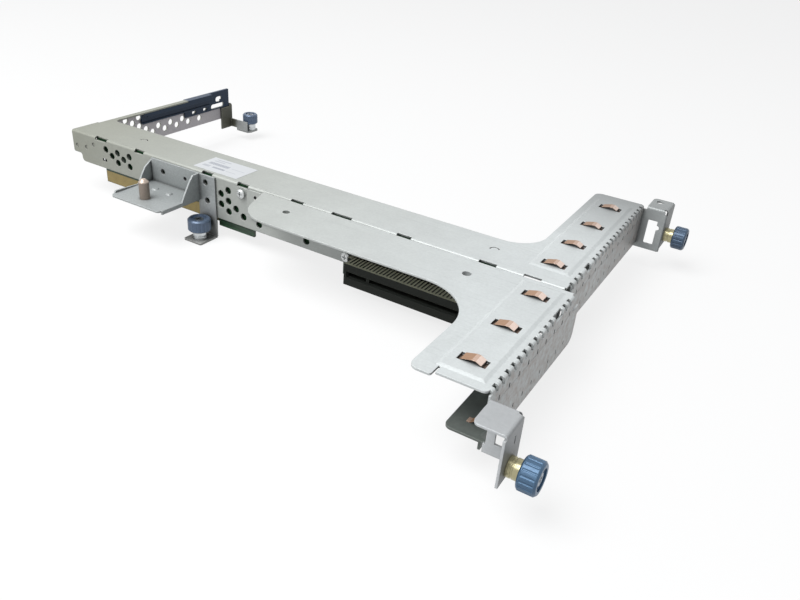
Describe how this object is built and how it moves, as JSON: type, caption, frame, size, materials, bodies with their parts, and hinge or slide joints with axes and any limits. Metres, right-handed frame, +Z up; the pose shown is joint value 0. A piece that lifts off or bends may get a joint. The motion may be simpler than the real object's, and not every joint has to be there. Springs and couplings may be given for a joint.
{
  "type": "riser cage bracket",
  "caption": "Folded sheet-steel riser cage for a rack server: L-shaped frame with a T-shaped slot end, riser board, card guide, guide pin and captive thumbscrews.",
  "frame": {"origin": "guide pin's axis at the shelf's top face", "axes": "+X along the spine towards the slot end, +Y towards the far card bay and the arm, +Z up along the guide pin"},
  "size_m": [0.3582, 0.2661, 0.0402],
  "materials": {
    "zinc_steel": "matte zinc plating",
    "dark_steel": "dark olive finish, satin",
    "pin_steel": "turned, satin",
    "navy_plastic": "satin",
    "board_laminate": "solder mask, satin",
    "gold": "plated, glossy",
    "black_plastic": "satin",
    "bright_steel": "bright",
    "brass": "satin",
    "label_paper": "matte",
    "copper_alloy": "bright",
    "plated_bush": "bright zinc",
    "spring_steel": "bright",
    "blue_knob": "satin",
    "slate_knob": "satin"
  },
  "bodies": {
    "cage": {"main_frame": "zinc_steel", "near_wing": "zinc_steel", "near_slot_cover": "zinc_steel", "far_slot_cover": "zinc_steel", "near_slot_shelf": "dark_steel", "far_slot_shelf": "dark_steel", "near_end_bracket": "zinc_steel", "far_end_bracket": "zinc_steel", "side_shelf_bracket": "zinc_steel", "guide_pin": "pin_steel", "arm_end_bracket": "dark_steel", "card_guide": "navy_plastic", "riser_board": "board_laminate", "edge_contacts": "gold", "near_slot_connector": "black_plastic", "far_slot_connector": "black_plastic", "board_screws": "bright_steel", "board_spacers": "brass", "board_nuts": "bright_steel", "rivets": "bright_steel", "label": "label_paper", "near_contact_spring_1": "copper_alloy", "near_contact_spring_2": "copper_alloy", "near_contact_spring_3": "copper_alloy", "far_contact_spring_1": "copper_alloy", "far_contact_spring_2": "copper_alloy", "far_contact_spring_3": "copper_alloy", "far_contact_spring_4": "copper_alloy", "near_shelf_springs": "copper_alloy", "far_shelf_springs": "copper_alloy", "near_ferrule": "plated_bush", "near_spring": "spring_steel", "far_ferrule": "plated_bush", "far_spring": "spring_steel", "middle_ferrule": "plated_bush", "middle_spring": "spring_steel", "arm_ferrule": "plated_bush", "arm_spring": "spring_steel"},
    "near_retainer": {"near_ring": "spring_steel"},
    "near_screw_body": {"near_screw": "bright_steel", "near_knob": "blue_knob"},
    "far_retainer": {"far_ring": "spring_steel"},
    "far_screw_body": {"far_screw": "bright_steel", "far_knob": "blue_knob"},
    "middle_retainer": {"middle_ring": "spring_steel"},
    "middle_screw_body": {"middle_screw": "bright_steel", "middle_knob": "slate_knob"},
    "arm_retainer": {"arm_ring": "spring_steel"},
    "arm_screw_body": {"arm_screw": "bright_steel", "arm_knob": "slate_knob"}
  },
  "joints": [
    {"name": "near_thumbscrew_press", "type": "slide", "parent": "cage", "child": "near_retainer", "axis": [-1, 0, 0], "range_m": [0, 0.004], "stiffness_N_per_m": 400, "springref_m": -0.003, "deforming": ["near_spring"]},
    {"name": "near_thumbscrew_turn", "type": "hinge", "parent": "near_retainer", "child": "near_screw_body", "pos_m": [0.259, -0.079, -0.0022], "axis": [1, 0, 0], "continuous": true},
    {"name": "far_thumbscrew_press", "type": "slide", "parent": "cage", "child": "far_retainer", "axis": [-1, 0, 0], "range_m": [0, 0.004], "stiffness_N_per_m": 400, "springref_m": -0.003, "deforming": ["far_spring"]},
    {"name": "far_thumbscrew_turn", "type": "hinge", "parent": "far_retainer", "child": "far_screw_body", "pos_m": [0.2538, 0.157, -0.002], "axis": [1, 0, 0], "continuous": true},
    {"name": "middle_thumbscrew_press", "type": "slide", "parent": "cage", "child": "middle_retainer", "axis": [0, 0, -1], "range_m": [0, 0.004], "stiffness_N_per_m": 400, "springref_m": -0.003, "deforming": ["middle_spring"]},
    {"name": "middle_thumbscrew_turn", "type": "hinge", "parent": "middle_retainer", "child": "middle_screw_body", "pos_m": [0.0255, 0.015, -0.022], "axis": [0, 0, 1], "continuous": true},
    {"name": "arm_thumbscrew_press", "type": "slide", "parent": "cage", "child": "arm_retainer", "axis": [0, 0, -1], "range_m": [0, 0.004], "stiffness_N_per_m": 400, "springref_m": -0.003, "deforming": ["arm_spring"]},
    {"name": "arm_thumbscrew_turn", "type": "hinge", "parent": "arm_retainer", "child": "arm_screw_body", "pos_m": [-0.073, 0.1733, -0.016], "axis": [0, 0, 1], "continuous": true}
  ]
}
